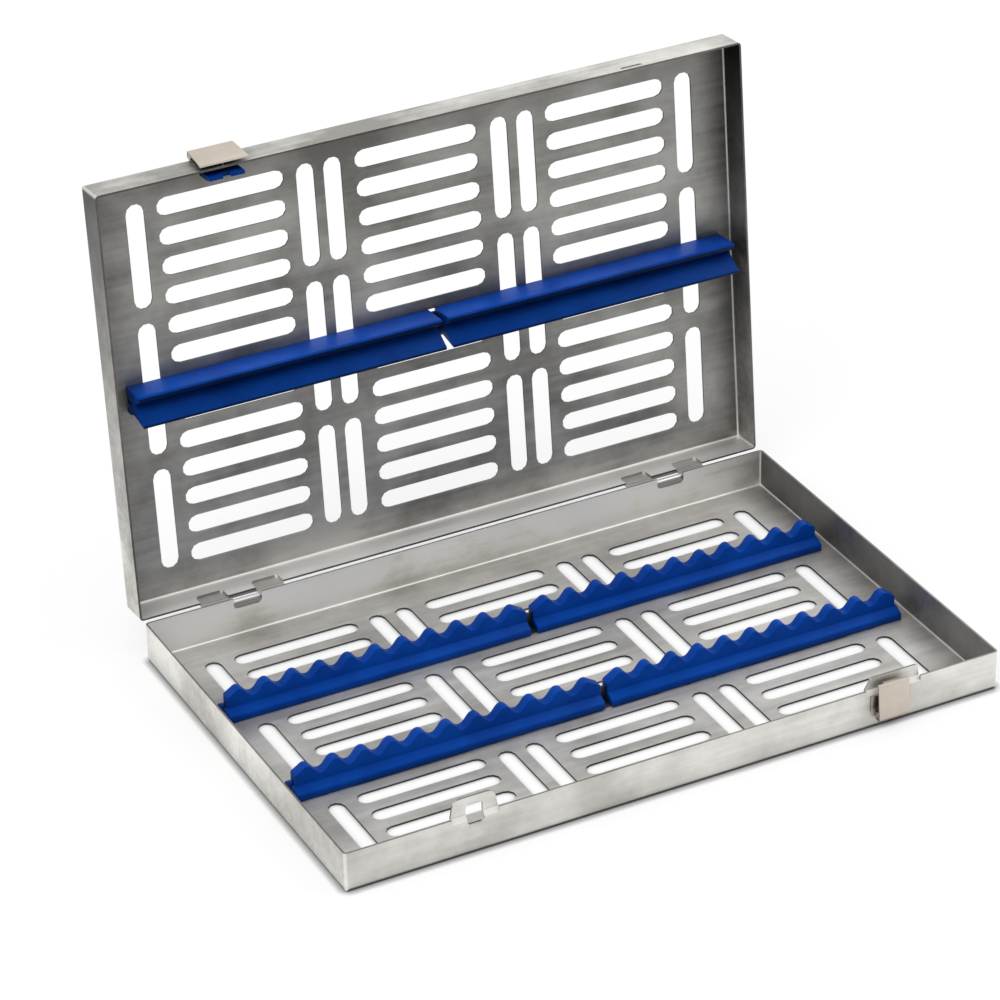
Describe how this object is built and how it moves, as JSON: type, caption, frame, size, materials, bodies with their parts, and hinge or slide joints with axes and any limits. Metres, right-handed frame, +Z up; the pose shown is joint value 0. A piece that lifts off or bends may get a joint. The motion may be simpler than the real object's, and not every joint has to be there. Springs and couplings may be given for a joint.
{
  "type": "sterilization container",
  "caption": "Slotted sheet-steel instrument cassette with a hinged slotted lid, silicone holding strips and two front latches.",
  "frame": {"origin": "centre of the base tray's underside", "axes": "+X along the length, to the right seen from the latches; +Y to the hinges; +Z up; the lid stands open at rest"},
  "size_m": [0.28, 0.2182, 0.1972],
  "materials": {
    "sheet_steel": "fine brushed sheet",
    "hinge_steel": "satin",
    "latch_metal": "warm satin nickel",
    "silicone": "satin blue silicone"
  },
  "bodies": {
    "base": {"base_tray": "sheet_steel", "base_rail_rear": "sheet_steel", "base_rail_front": "sheet_steel", "base_strip_rear_left": "silicone", "base_strip_rear_right": "silicone", "base_strip_front_left": "silicone", "base_strip_front_right": "silicone", "hinge_base_leaf_left": "hinge_steel", "hinge_base_leaf_right": "hinge_steel", "hinge_pin_left": "hinge_steel", "hinge_pin_right": "hinge_steel", "base_latch_bracket": "latch_metal", "base_latch_pin": "hinge_steel"},
    "lid": {"lid_shell": "sheet_steel", "lid_rail": "sheet_steel", "lid_strip_left": "silicone", "lid_strip_right": "silicone", "hinge_lid_leaf_left": "hinge_steel", "hinge_lid_leaf_right": "hinge_steel", "lid_latch_bracket": "latch_metal", "lid_latch_pin": "hinge_steel", "lid_latch_holder": "sheet_steel", "lid_latch_pad": "silicone"},
    "lid_latch": {"lid_latch_lever": "latch_metal"},
    "base_latch": {"base_latch_lever": "latch_metal"}
  },
  "joints": [
    {"name": "lid_hinge", "type": "hinge", "parent": "base", "child": "lid", "pos_m": [0, 0.0913, 0.0142], "axis": [1, 0, 0], "range_deg": [0, 95]},
    {"name": "lid_latch_pivot", "type": "hinge", "parent": "lid", "child": "lid_latch", "pos_m": [-0.0865, 0.1223, 0.19529], "axis": [-1, 0, 0], "range_deg": [-5.5, 10]},
    {"name": "base_latch_pivot", "type": "hinge", "parent": "base", "child": "base_latch", "pos_m": [0.091, -0.0918, 0.0062], "axis": [1, 0, 0], "range_deg": [-5, 12]}
  ]
}
